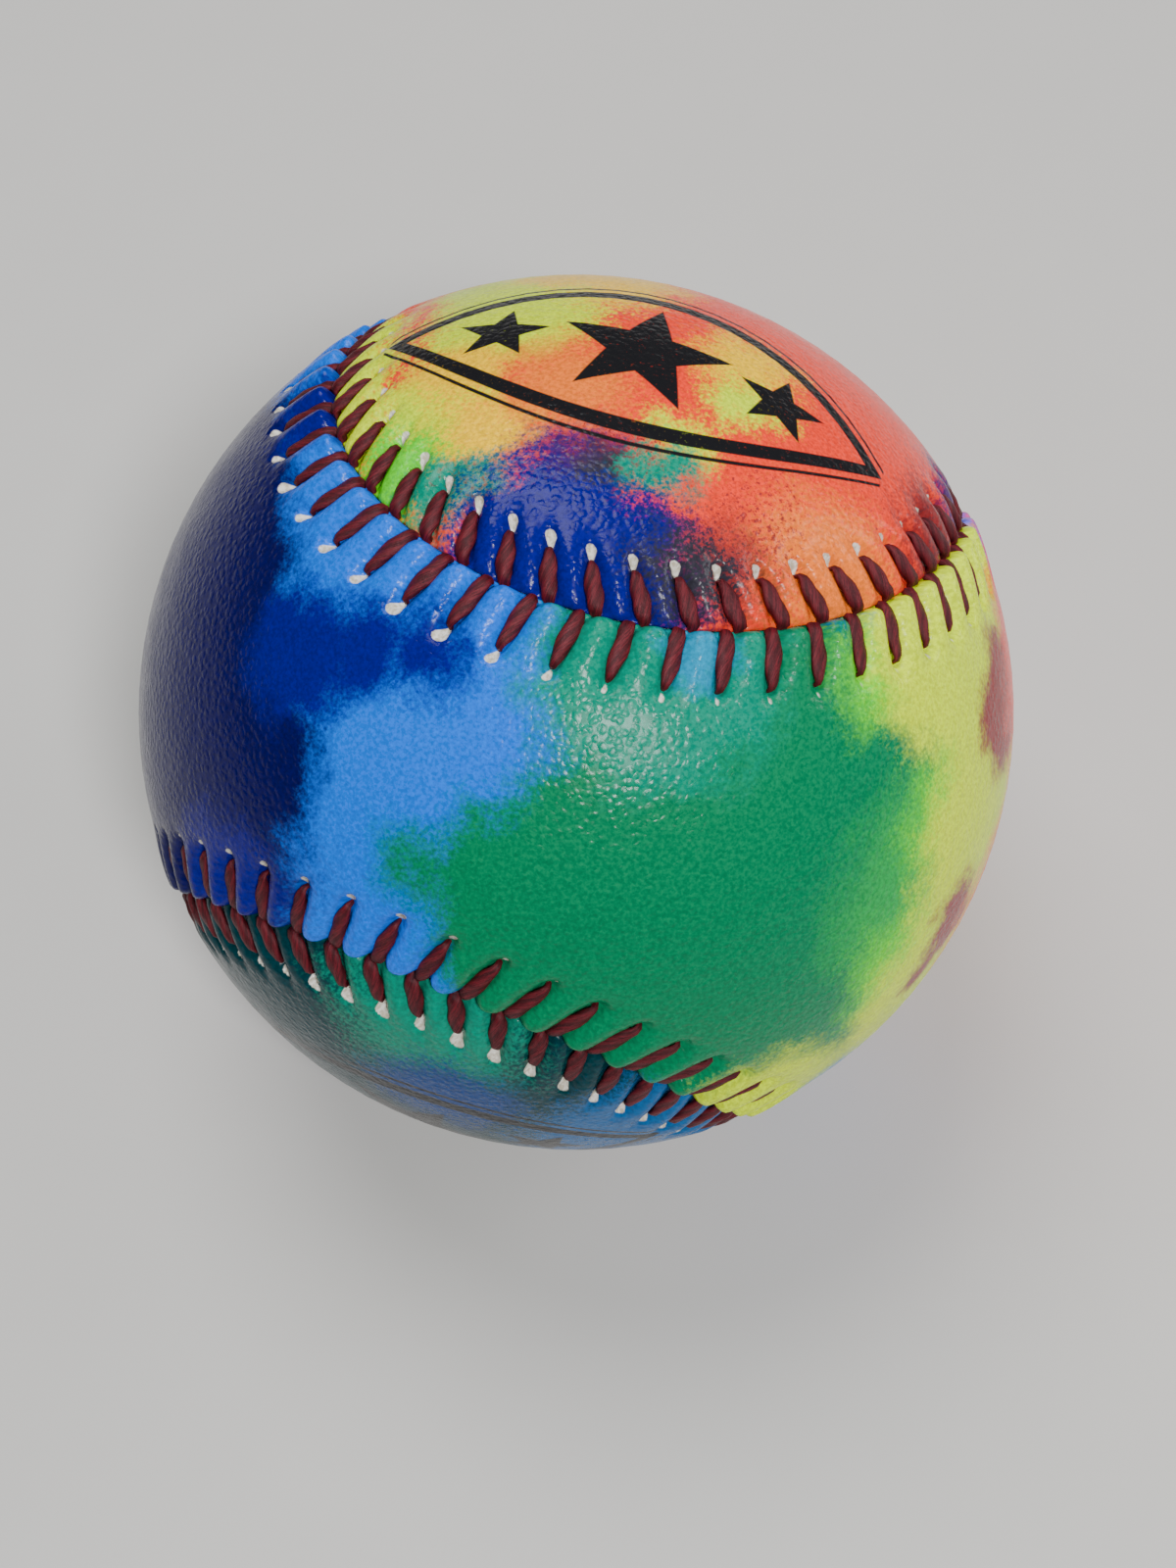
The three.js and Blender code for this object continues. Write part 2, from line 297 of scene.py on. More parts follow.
# how far the stitches lean forward, in mm, by stitch around the seam, on each panel
stitchLeans = {
    1: ([0, 54], [1.5, 1.5]),
    -1: ([0, 30, 47, 78, 100], [1.1, 1.4, 1.4, 0.85, 0.85]),
}
chance = np.random.default_rng(cover["seed"])
unevenTips = {side: chance.uniform(0.8, 1.15, ball["stitches"]) for side in (1, -1)}
unevenLegs = {side: chance.uniform(-1.0, 1.0, ball["stitches"]) for side in (1, -1)}


def stitchLean(station, side):
    places, leans = stitchLeans[side]
    return np.interp(station, places, leans, period=ball["stitches"]) * mm


def coverRelief(station, fromEdge, side):
    # height of the leather above the ball's radius, and how far inside a bare tip the point is
    holeInset = cover["holeOffset"] - cover["edge"][side]
    lean = stitchLean(station, side) * (1 - np.clip(fromEdge / holeInset, 0, 1.5))
    sewn = sewnPlace(station, side) - lean / stitchPitch
    stitch = np.round(sewn).astype(int) % ball["stitches"]
    fromLeg = (sewn - np.round(sewn)) * stitchPitch
    share = np.abs(fromLeg) / (stitchPitch / 2)
    rise = np.clip((share - cover["grooveFloor"]) / (1 - cover["grooveFloor"]), 0, 1)
    arch = (1 - (1 - rise) ** 2) ** cover["fingerRoundness"]
    depth = cover["grooveDepth"][side] * (1 - smooth(*cover["grooveReach"], fromEdge))
    depth = depth * (1 + 0.12 * unevenLegs[side][stitch])
    puff = cover["puff"][side] * (1 - smooth(1.0 * mm, cover["grooveReach"][1], fromEdge))
    tuck = cover["tuck"][side] * (1 - smooth(0.0, 4.2 * mm, fromEdge))
    fromEnd = fromEdge - cover["endNotch"] * (1 - rise) ** 3
    bend = 1 - np.clip(fromEnd / cover["endRadius"][side], 0, 1)
    endDrop = cover["endDrop"][side] * (1 - np.sqrt(1 - bend**2))
    height = puff * (0.3 + 0.7 * arch) - tuck - depth * (1 - arch) - endDrop
    places, radii = bareTips[side]
    radius = np.interp(stitch, places, radii, period=ball["stitches"]) * mm
    radius = radius * unevenTips[side][stitch]
    beyond = fromEdge + cover["edge"][side] - cover["tipOffset"]
    narrowed = radius * np.clip(1 + beyond / cover["tipTaper"], -1, 1)
    inTip = narrowed - np.hypot(fromLeg, np.maximum(beyond, 0))
    dent = 0.22 * mm * smooth(-0.15 * mm, 0.3 * mm, inTip)
    lip = 0.07 * mm * np.exp(-(((inTip + 0.2 * mm) / (0.16 * mm)) ** 2))
    entry = np.hypot(fromLeg / (0.5 * mm), (fromEdge - holeInset) / (0.5 * mm))
    height = height - dent + lip - 0.5 * mm * np.exp(-(entry**2))
    return np.maximum(height, -cover["deepest"]), inTip


def spineDirections(station, side):
    # where the ribs meet on the panel's middle line; the second panel is the first one turned over X
    turn = turnAt(station) * side
    angle = math.radians(ball["spineReach"]) * np.sin(turn - math.pi / 4)
    half = math.sqrt(0.5)
    points = np.stack([-half * np.sin(angle), side * half * np.sin(angle), side * np.cos(angle)], axis=-1)
    return points @ layBall


def slerp(start, end, share):
    angle = np.arccos(np.clip(np.sum(start * end, axis=-1, keepdims=True), -1, 1))
    return unit(np.sin((1 - share) * angle) * start + np.sin(share * angle) * end)


def makeCoverPanel(name, side, material):
    ribs = ball["stitches"] * cover["ribsPerStitch"]
    station = np.arange(ribs) / cover["ribsPerStitch"]
    outward, along, across = seamFrames(station)
    spine = spineDirections(station, side)
    mirrorSum = (81 if side > 0 else 27) * cover["ribsPerStitch"]
    twin = (mirrorSum - np.arange(ribs)) % ribs
    shared = np.minimum(np.arange(ribs), twin)
    radius = ball["radius"]

    def rimDirection(fromEdge):
        angle = (fromEdge + cover["edge"][side]) / radius
        return math.cos(angle) * outward + side * math.sin(angle) * across

    points = []
    tips = []
    inside = []
    faces = []

    def addRow(directions, heights, tip, isInside):
        start = sum(len(row) for row in points)
        points.append(directions * (radius + np.reshape(heights, (-1, 1))))
        tips.append(np.broadcast_to(tip, ribs))
        inside.append(np.full(ribs, isInside))
        return start + np.arange(ribs)

    def addBand(first, second, isInside):
        nextFirst = np.roll(first, -1)
        nextSecond = np.roll(second, -1)
        quads = np.stack([first, nextFirst, nextSecond, second], axis=-1)
        if (side < 0) != isInside:
            quads = quads[:, ::-1]
        faces.extend(quads.tolist())

    nearRim = np.linspace(0, 1.5 * mm, 9)[:-1]
    stitched = np.linspace(1.5 * mm, 6.5 * mm, 22)[:-1]
    beyond = np.linspace(6.5 * mm, 9.0 * mm, 6)
    outerOffsets = np.concatenate([nearRim, stitched, beyond])
    innerOffsets = np.linspace(0, 9.0 * mm, 4)
    rims = {}
    for isInside in (False, True):
        previous = None
        offsets = innerOffsets if isInside else outerOffsets
        for offset in offsets:
            if isInside:
                height = np.full(ribs, -cover["thickness"])
                tip = -mm
            else:
                height, tip = coverRelief(station, np.full(ribs, offset), side)
            row = addRow(rimDirection(offset), height, tip, isInside and offset > 0)
            if previous is None:
                rims[isInside] = row
            else:
                addBand(previous, row, isInside)
            previous = row
        fieldRows = 4 if isInside else 9
        depth = -cover["thickness"] if isInside else 0.0
        start = rimDirection(offsets[-1])
        for step in range(1, fieldRows + 1):
            directions = slerp(start, spine, step / fieldRows)
            row = addRow(directions, np.full(ribs, depth), -mm, isInside)
            if step == fieldRows:
                row = row[shared]
            addBand(previous, row, isInside)
            previous = row
    addBand(rims[True], rims[False], False)
    allPoints = np.concatenate(points)
    used = np.unique(np.array(faces))
    renumber = np.zeros(len(allPoints), int)
    renumber[used] = np.arange(len(used))
    faces = renumber[np.array(faces)].tolist()
    floats = {
        "bareTip": np.concatenate(tips)[used] / mm,
        "inside": np.concatenate(inside)[used],
    }
    return makeMesh(name, allPoints[used], faces, material, floats)


dye = {
    "wander": [(4.0, 0.17, 1.0), (13.0, 0.14, 4.0), (50.0, 0.035, 9.0)],  # scale, push, seed
    "grains": 110.0,
    "speckle": 0.2,
    "bareLeather": (0.84, 0.81, 0.74),
    # painted shade for the bare tips
    "bareTipPaintedShade": (0.50, 0.45, 0.34),
    "insideLeather": (0.55, 0.47, 0.36),
    "grainScale": 62.0,
    "grainLoose": 0.02,
    "grainDepth": 0.035 * mm,
    "roughness": (0.2, 0.28),
    "shine": 1.24,
}
navy = (0.002, 0.001, 0.075)
royal = (0.004, 0.003, 0.19)
sky = (0.0, 0.15, 0.82)
lightSky = (0.0, 0.27, 0.48)
teal = (0.0, 0.24, 0.15)
# deep teal dye, made darker still as painted shade for the shaded underside
deepTealAndPaintedShade = (0.0, 0.035, 0.045)
green = (0.0, 0.19, 0.075)
leaf = (0.0, 0.35, 0.06)
lime = (0.09, 0.66, 0.01)
yellow = (0.62, 0.80, 0.0)
gold = (0.95, 0.56, 0.0)
orange = (0.90, 0.19, 0.02)
red = (0.90, 0.045, 0.018)
brick = (0.24, 0.022, 0.024)
plum = (0.06, 0.01, 0.12)
indigo = (0.0, 0.04, 0.19)
steel = (0.0, 0.10, 0.30)
soot = (0.03, 0.028, 0.04)

# each patch of dye: degrees right, degrees above, radius in degrees, softness in degrees, colour
warmPatches = [
    (-14, 66, 13, 7, yellow),
    (6, 69, 11, 7, gold),
    (-56, 52, 8, 5, yellow),
    (-44, 43, 9, 5, yellow),
    (-34, 36, 7, 5, yellow),
    (-20, 37, 8, 7, yellow),
    (-13, 33, 6, 6, gold),
    (-15, 56, 11, 8, yellow),
    (-19, 43, 5, 5, gold),
    (-2, 41, 7, 9, orange),
    (31, 46, 6, 7, gold),
    (27, 38, 4.5, 5, yellow),
    (14, 32, 4, 5, yellow),
    (-24, 27, 7, 6, lime),
    (-17, 24, 5, 5, teal),
    (32, 15, 9, 10, orange),
    (0, 26, 8, 6, plum),
    (4, 27, 4, 5, soot),
    (-12, 26, 3, 4, teal),
    (11, 28, 4, 5, teal),
    (-4, 18, 11, 5, royal),
    (5, 14, 11, 6, royal),
    (-11, 13, 7, 5, royal),
    (15, 15, 6, 9, soot),
    (55, 20, 8, 8, brick),
    (72, 26, 9, 7, plum),
    # the bottom lobe's deep teal is partly dye and partly painted shade
    (-12, -72, 62, 8, deepTealAndPaintedShade),
    (-24, -41, 12, 12, teal),
    (-31, -56, 9, 8, indigo),
    (38, -68, 20, 8, steel),
    (150, -50, 26, 9, plum),
    (120, 60, 20, 9, orange),
    (180, 30, 24, 9, yellow),
    (180, 10, 16, 8, leaf),
    (-140, -20, 30, 9, royal),
]
coolPatches = [
    (25, -22, 32, 7, green),
    (5, -30, 21, 6, green),
    (38, -38, 23, 8, green),
    (22, -2, 17, 8, green),
    (-11, -19, 7, 6, green),
    (-20, -19, 4, 7, green),
    (45, -50, 15, 8, green),
    (10, 5, 15, 7, teal),
    (14, 5, 4.5, 4, lightSky),
    (50, -22, 12, 14, leaf),
    (56, -11, 10, 10, lime),
    (57, -33, 9, 10, lime),
    (38, 4, 6, 7, lime),
    (56, 13, 21, 7, yellow),
    (68, -14, 17, 8, yellow),
    (70, -36, 14, 8, yellow),
    (50, -60, 13, 7, yellow),
    (69, 1, 9, 4, brick),
    (67, -26, 6, 4, brick),
    (65, -34, 3.5, 4, brick),
    (-82, 1, 48, 7, navy),
    (-40, -7, 9, 6, navy),
    (-34, 6, 8, 6, royal),
    (-25, 5, 5.5, 6, royal),
    (-16, 6, 5, 6, royal),
    (-52, -22, 10, 6, royal),
    (-44, 40, 8, 6, royal),
    (90, 8, 19, 9, red),
    (92, -24, 17, 9, orange),
    (112, -12, 24, 10, red),
    (96, -8, 10, 9, brick),
    (130, 12, 16, 9, plum),
    (128, -20, 13, 10, gold),
    (152, -5, 13, 9, royal),
    (170, -18, 22, 10, sky),
    (178, 8, 12, 9, navy),
    (-150, 15, 26, 9, teal),
    (-125, -20, 20, 8, plum),
]

# dark grains scattered in the warm dye: degrees right and above, radius in degrees, how thickly
warmPepper = [
    (22, 20, 18, 0.27),
    (42, 24, 16, 0.17),
    (3, 30, 12, 0.34),
    (56, 20, 9, 0.32),
    (-14, 24, 11, 0.24),
]

# a plain black emblem stands on both round ends of the first panel
emblem = {
    "middle": place(12, 47),
    "along": Vector((0.95, -0.29, -0.08)),
    "frameHeight": 0.24,
    "frameLength": 0.52,
    "thickLine": 0.019,
    "thinLine": 0.005,
    "thinLineGap": 0.042,
    "stars": [(0.0, 0.0, 0.19), (-0.3, 0.0, 0.1), (0.3, 0.0, 0.1)],  # right, up, size
    "starWaist": 0.42,
    "ink": (0.010, 0.010, 0.012),
}


def below(tree, value, limit):
    return ramp(tree, value, limit - 0.002, limit + 0.002, 1.0, 0.0)


def star(tree, right, up, starRight, starUp, size):
    x = math1(tree, "SUBTRACT", right, starRight)
    y = math1(tree, "SUBTRACT", up, starUp)
    angle = math1(tree, "ARCTAN2", x, y)
    half = math.pi / 5
    folded = math1(tree, "ABSOLUTE", math1(tree, "WRAP", angle, half, -half))
    xSquared = math1(tree, "MULTIPLY", x, x)
    reach = math1(tree, "SQRT", math1(tree, "MULTIPLY_ADD", y, y, xSquared))
    outward = math1(tree, "MULTIPLY", reach, math1(tree, "COSINE", folded))
    aside = math1(tree, "MULTIPLY", reach, math1(tree, "SINE", folded))
    # each arm's side runs from its tip to the waist between two arms
    waist = size * emblem["starWaist"]
    run = (waist * math.cos(half) - size, waist * math.sin(half))
    length = math.hypot(*run)
    across = (run[1] / length, -run[0] / length)
    fromTip = math1(tree, "SUBTRACT", outward, size)
    distance = math1(tree, "MULTIPLY_ADD", fromTip, across[0], math1(tree, "MULTIPLY", aside, across[1]))
    return below(tree, distance, 0.0)


def emblemInk(tree, direction):
    middle = np.array(emblem["middle"])
    along = np.array(emblem["along"])
    along = unit(along - middle * (along @ middle))
    upward = np.cross(middle, along)
    turnOver = layBall.T @ np.diag([-1.0, -1.0, 1.0]) @ layBall
    ink = 0.0
    for turn in (np.eye(3), turnOver):
        right, up, near = (
            add(tree, "VectorMath", {0: direction, 1: axis @ turn}, operation="DOT_PRODUCT").outputs["Value"]
            for axis in (along, upward, middle)
        )
        parts = [star(tree, right, up, *starPlace) for starPlace in emblem["stars"]]
        share = math1(tree, "DIVIDE", right, emblem["frameLength"])
        bow = math1(tree, "SUBTRACT", 1.0, math1(tree, "MULTIPLY", share, share))
        height = math1(tree, "MULTIPLY", bow, emblem["frameHeight"])
        fromFrame = math1(tree, "SUBTRACT", math1(tree, "ABSOLUTE", up), height)
        onFrame = below(tree, math1(tree, "ABSOLUTE", fromFrame), emblem["thickLine"])
        fromThin = math1(tree, "SUBTRACT", fromFrame, emblem["thinLineGap"])
        onThin = below(tree, math1(tree, "ABSOLUTE", fromThin), emblem["thinLine"])
        lines = math1(tree, "MAXIMUM", onFrame, onThin)
        inLength = below(tree, math1(tree, "ABSOLUTE", right), emblem["frameLength"] + 0.02)
        parts.append(math1(tree, "MULTIPLY", lines, inLength))
        for part in parts:
            facing = math1(tree, "GREATER_THAN", near, 0.3)
            ink = math1(tree, "MAXIMUM", ink, math1(tree, "MULTIPLY", part, facing))
    return ink


def dyedColour(tree, direction, ground, patches, grainy, pepper):
    # dye wicks along the leather: the edges wander, fray and end in single grains
    half = (0.5, 0.5, 0.5)
    pushed = direction
    for scale, amount, seed in dye["wander"]:
        source = noise(tree, direction, scale, 3.0, 0.6, seed).outputs["Color"]
        centred = add(tree, "VectorMath", {0: source, 1: half}, operation="SUBTRACT").outputs[0]
        scaled = add(tree, "VectorMath", {0: centred, "Scale": amount}, operation="SCALE").outputs[0]
        pushed = add(tree, "VectorMath", {0: pushed, 1: scaled}, operation="ADD").outputs[0]
    grains = noise(tree, direction, dye["grains"], 2.0, 0.7, seed=6.0).outputs[0]
    shift = ramp(tree, grains, 0.3, 0.7, -grainy, grainy)
    colour = rgba(ground)
    for right, above, radius, softness, paint in patches:
        inputs = {0: pushed, 1: place(right, above)}
        distance = add(tree, "VectorMath", inputs, operation="DISTANCE").outputs["Value"]
        edge = 2 * math.sin(math.radians(radius) / 2)
        spread = math.radians(softness) / 2
        grainEdge = math1(tree, "MULTIPLY_ADD", shift, spread, distance)
        share = ramp(tree, grainEdge, edge - spread, edge + spread, 1.0, 0.0)
        colour = mixColour(tree, share, colour, rgba(paint))
    for right, above, radius, thickly in pepper:
        distance = add(tree, "VectorMath", {0: pushed, 1: place(right, above)}, operation="DISTANCE")
        near = ramp(tree, distance.outputs["Value"], 0.0, math.radians(radius), thickly, 0.0)
        specks = ramp(tree, math1(tree, "ADD", grains, near), 0.74, 0.9, 0.0, 0.7)
        colour = mixColour(tree, specks, colour, rgba(soot))
    return colour


def leatherMaterial(name, ground, patches, grainy, pepper=(), printed=None):
    material, tree, shader = startMaterial(name)
    direction = onBall(tree)
    colour = dyedColour(tree, direction, ground, patches, grainy, pepper)
    dust = noise(tree, direction, 120.0, 2.0, 0.6, seed=7.0).outputs[0]
    speckle = ramp(tree, dust, 0.3, 0.7, 1.0 - dye["speckle"], 1.0 + dye["speckle"])
    colour = add(tree, "VectorMath", {0: colour, "Scale": speckle}, operation="SCALE").outputs[0]
    if printed:
        worn = ramp(tree, dust, 0.25, 0.4, 0.75, 1.0)
        ink = math1(tree, "MULTIPLY", printed(tree, direction), worn)
        colour = mixColour(tree, ink, colour, rgba(emblem["ink"]))
    bare = ramp(tree, attribute(tree, "bareTip"), -0.04, 0.05)
    # painted shade: the bare tips are darkened in patches laid at random by noise
    rawHideWithPaintedShade = mixColour(tree, ramp(tree, dust, 0.35, 0.65), rgba(dye["bareTipPaintedShade"]), rgba(dye["bareLeather"]))
    colour = mixColour(tree, bare, colour, rawHideWithPaintedShade)
    colour = mixColour(tree, attribute(tree, "inside"), colour, rgba(dye["insideLeather"]))
    tree.links.new(colour, shader.inputs["Base Color"])
    patchy = noise(tree, direction, 14.0, 4.0, seed=3.0).outputs[0]
    tree.links.new(ramp(tree, patchy, 0.3, 0.7, *dye["roughness"]), shader.inputs["Roughness"])
    loose = noise(tree, direction, 40.0, 2.0, seed=2.0).outputs["Color"]
    loosened = mixColour(tree, dye["grainLoose"], direction, loose, "ADD")
    pebbles = add(tree, "TexVoronoi", {"Vector": loosened, "Scale": dye["grainScale"]}).outputs["Distance"]
    domes = ramp(tree, pebbles, 0.15, 0.75, 1.0, 0.0)
    bump = add(tree, "Bump", {"Height": domes, "Strength": 1.0, "Distance": dye["grainDepth"]})
    tree.links.new(bump.outputs[0], shader.inputs["Normal"])
    shader.inputs["IOR"].default_value = dye["shine"]
    return material


warmLeather = leatherMaterial("warmTieDyeLeather", red, warmPatches, 0.6, warmPepper, emblemInk)
coolLeather = leatherMaterial("coolTieDyeLeather", sky, coolPatches, 0.28)
coverA = makeCoverPanel("coverPanelA", 1, warmLeather)
standIn(coverA, "cover_panel_a")
coverB = makeCoverPanel("coverPanelB", -1, coolLeather)
standIn(coverB, "cover_panel_b")
print("cover panels are sewn to shape")

# seam thread
thread = {
    "halfWidth": (0.16 * mm, 0.66 * mm, 0.4 * mm),  # at the hole, in the middle and in the gap
    "halfThickness": (0.14 * mm, 0.42 * mm, 0.34 * mm),
    "gap": 0.48 * mm,  # where both legs of a stitch go down, towards the first panel
    "hiddenHalf": (0.45 * mm, 0.18 * mm),
    "bedHeight": (-0.34 * mm, -0.7 * mm),
    "underCover": -1.58 * mm,
    "diveLength": 0.1,
    "plies": 3,
    "plyDepth": 0.12,
    "twistPerStitch": 0.75,
    "sides": 15,
    "stepsPerLeg": 16,
    "stepsHidden": 3,
    "colour": (0.165, 0.008, 0.017),
    "darker": (0.03, 0.001, 0.004),
    "shine": 1.35,
}


def spindle(sizes, share):
    # fills out in the middle of a stitch and narrows to both ends
    ends = sizes[0] + (sizes[2] - sizes[0]) * share
    return ends + (sizes[1] - (sizes[0] + sizes[2]) / 2) * math.sin(math.pi * share) ** 0.8


def threadPath(firstSide):
    # station, offset across the seam, height, half width and half thickness, for every step
    rows = []
    for stitch in range(ball["stitches"]):
        side = firstSide if stitch % 2 == 0 else -firstSide
        hole = holeStation(stitch, side)
        nextHole = holeStation(stitch + 1, -side)
        apex = hole + stitchLean(hole, side) / stitchPitch
        for share in np.linspace(0, 1, thread["stepsPerLeg"]):
            dive = max(0.0, 1 - share / thread["diveLength"], (share - 1) / thread["diveLength"] + 1)
            bed = thread["bedHeight"][0] + (thread["bedHeight"][1] - thread["bedHeight"][0]) * share
            height = bed + (thread["underCover"] - bed) * dive**2
            offset = side * cover["holeOffset"] * (1 - share) + thread["gap"] * share
            width = spindle(thread["halfWidth"], share)
            thick = spindle(thread["halfThickness"], share)
            rows.append((hole + (apex - hole) * share, offset, height, width, thick))
        for step in range(1, thread["stepsHidden"] + 1):
            share = step / (thread["stepsHidden"] + 1)
            offset = thread["gap"] * (1 - share) - side * cover["holeOffset"] * share
            width, thick = thread["hiddenHalf"]
            rows.append((apex + (nextHole - apex) * share, offset, thread["underCover"], width, thick))
    return np.array(rows)


def makeThread(name, firstSide, material):
    path = threadPath(firstSide)
    station, offset, height, width, thick = path.T
    outward, along, across = seamFrames(station)
    angle = (offset / ball["radius"])[:, None]
    centres = (np.cos(angle) * outward + np.sin(angle) * across) * (ball["radius"] + height)[:, None]
    ahead = unit(np.roll(centres, -1, axis=0) - np.roll(centres, 1, axis=0))
    sideways = unit(along - np.sum(along * ahead, axis=-1, keepdims=True) * ahead)
    upward = np.cross(ahead, sideways)
    steps = np.linalg.norm(np.diff(centres, axis=0, append=centres[:1]), axis=-1)
    travelled = np.concatenate([[0], np.cumsum(steps)[:-1]])
    perStitch = thread["stepsPerLeg"] + thread["stepsHidden"]
    twist = 2 * math.pi * thread["twistPerStitch"] * np.arange(len(path)) / perStitch
    around = 2 * math.pi * np.arange(thread["sides"]) / thread["sides"]
    swell = 1 + thread["plyDepth"] * np.cos(thread["plies"] * (around[None, :] - twist[:, None]))
    across1 = (swell * np.cos(around) * width[:, None])[..., None] * sideways[:, None, :]
    up1 = (swell * np.sin(around) * thick[:, None])[..., None] * upward[:, None, :]
    points = (centres[:, None, :] + across1 + up1).reshape(-1, 3)
    ring = np.arange(len(path))[:, None] * thread["sides"]
    side = np.arange(thread["sides"])[None, :]
    nextRing = np.roll(ring, -1, axis=0)
    nextSide = np.roll(side, -1, axis=1)
    quads = np.stack([ring + side, ring + nextSide, nextRing + nextSide, nextRing + side], axis=-1)
    faces = quads.reshape(-1, 4)[:, ::-1].tolist()
    phase = around[None, :] - twist[:, None]
    lengthwise = np.broadcast_to(travelled[:, None] / mm, phase.shape)
    strand = np.stack([np.cos(phase), np.sin(phase), 0.12 * lengthwise], axis=-1).reshape(-1, 3)
    valley = (0.5 - 0.5 * np.cos(thread["plies"] * phase)).ravel()
    return makeMesh(name, points, faces, material, {"valley": valley}, {"strand": strand})


def threadMaterial():
    material, tree, shader = startMaterial("waxedMaroonThread")
    strand = attribute(tree, "strand", "Vector")
    valley = attribute(tree, "valley")
    fibres = noise(tree, strand, 9.0, 4.0, 0.65, seed=5.0).outputs[0]
    fibreTone = ramp(tree, fibres, 0.35, 0.65)
    colour = mixColour(tree, fibreTone, rgba(thread["darker"]), rgba(thread["colour"]))
    # painted shade: the grooves between the plies are darkened towards the darker thread colour
    shade = ramp(tree, valley, 0.5, 1.0, 0.0, 0.75)
    colour = mixColour(tree, shade, colour, rgba(thread["darker"]))
    tree.links.new(colour, shader.inputs["Base Color"])
    tree.links.new(ramp(tree, fibres, 0.3, 0.7, 0.62, 0.42), shader.inputs["Roughness"])
    bump = add(tree, "Bump", {"Height": fibres, "Strength": 0.7, "Distance": 0.08 * mm})
    tree.links.new(bump.outputs[0], shader.inputs["Normal"])
    shader.inputs["IOR"].default_value = thread["shine"]
    return material


waxedThread = threadMaterial()
for number, firstSide in ((1, 1), (2, -1)):
    seamThread = makeThread(f"seamThread{number}", firstSide, waxedThread)
    standIn(seamThread, f"seam_thread_{number}")
print("seam threads are pulled through")

# everything under the cover
centre = {
    "corkRadius": 10.3 * mm,
    "innerShell": (10.6 * mm, 14.3 * mm, 0.7 * mm),  # inside, outside, rim above the middle plane
    "outerShell": (14.6 * mm, 17.45 * mm, 0.15 * mm),
    "gasket": (10.9 * mm, 14.0 * mm, 0.4 * mm),
    "rimRounding": 0.25 * mm,
    "granules": 420,  # over the whole cork
    "corkRelief": 0.12 * mm,
    "sides": 120,
}


def ringMesh(name, rings, material, floats=None, vectors=None):
    # the rings close round the axis, and the last one joins the first
    count = len(rings)
    sides = rings.shape[1]
    ring = np.arange(count)[:, None] * sides
    side = np.arange(sides)[None, :]
    nextRing = np.roll(ring, -1, axis=0)
    nextSide = np.roll(side, -1, axis=1)
    quads = np.stack([ring + side, ring + nextSide, nextRing + nextSide, nextRing + side], axis=-1)
    piece = makeMesh(name, rings.reshape(-1, 3), quads.reshape(-1, 4).tolist(), material, floats, vectors)
    shape = bmesh.new()
    shape.from_mesh(piece.data)
    bmesh.ops.remove_doubles(shape, verts=shape.verts, dist=1e-7)
    bmesh.ops.recalc_face_normals(shape, faces=shape.faces)
    shape.to_mesh(piece.data)
    shape.free()
    return piece


def spun(profile, sides):
    around = 2 * math.pi * np.arange(sides) / sides
    profile = np.array(profile)
    wide = profile[:, 0, None]
    tall = profile[:, 1, None] + 0 * around
    points = np.stack([wide * np.cos(around), wide * np.sin(around), tall], axis=-1)
    return points @ layBall


def granules(directions, count, seed):
    # a lumpy height from 0 to 1, lowest between the granules
    seeds = unit(np.random.default_rng(seed).normal(size=(count, 3)))
    shape = directions.shape[:-1]
    nearest = np.full(shape, -1.0)
    second = np.full(shape, -1.0)
    for seedPlace in seeds:
        closeness = directions @ seedPlace
        second = np.maximum(second, np.minimum(nearest, closeness))
        nearest = np.maximum(nearest, closeness)
    border = np.arccos(np.clip(second, -1, 1)) - np.arccos(np.clip(nearest, -1, 1))
    return smooth(0.0, 0.05, border)


def makeCork(material):
    angles = np.linspace(-math.pi / 2, math.pi / 2, 90)
    rings = spun([(math.cos(angle), math.sin(angle)) for angle in angles], centre["sides"])
    lumps = granules(rings, centre["granules"], 3)
    radius = centre["corkRadius"] - centre["corkRelief"] * (1 - lumps)
    cork = ringMesh("corkCentre", rings * radius[..., None], material, {"granule": lumps.ravel()})
    standIn(cork, "cork_center")


def halfShellProfile(inside, outside, rim):
    # up the inside to the pole, down the outside, and a rounded rim
    rounding = centre["rimRounding"]
    rows = np.linspace(0, 1, 24)
    profile = []
    for radius, shares, inset in ((inside, rows, rounding), (outside, rows[::-1], rounding)):
        start = math.asin((rim + inset) / radius)
        for share in shares:
            angle = start + (math.pi / 2 - start) * share
            profile.append((radius * math.cos(angle), radius * math.sin(angle)))
    outerRim = math.sqrt((outside - rounding) ** 2 - rim**2)
    innerRim = math.sqrt((inside + rounding) ** 2 - rim**2)
    profile.append((outerRim + 0.7 * rounding, rim + 0.3 * rounding))
    profile.append((outerRim, rim))
    profile.append((innerRim, rim))
    profile.append((innerRim - 0.7 * rounding, rim + 0.3 * rounding))
    return profile


def makeHalfShells(name, node, sizes, material):
    for letter, flip in (("a", -1), ("b", 1)):
        profile = [(wide, flip * high) for wide, high in halfShellProfile(*sizes)]
        shell = ringMesh(f"{name}{letter.upper()}", spun(profile, centre["sides"]), material)
        standIn(shell, f"{node}_{letter}")


def makeGasket(material):
    inside, outside, half = centre["gasket"]
    cut = 0.4 * half
    profile = [
        (inside, -half + cut), (inside + cut, -half), (outside - cut, -half), (outside, -half + cut),
        (outside, half - cut), (outside - cut, half), (inside + cut, half), (inside, half - cut),
    ]
    gasket = ringMesh("gasketRing", spun(profile, centre["sides"]), material)
    standIn(gasket, "rubber_gasket_ring")


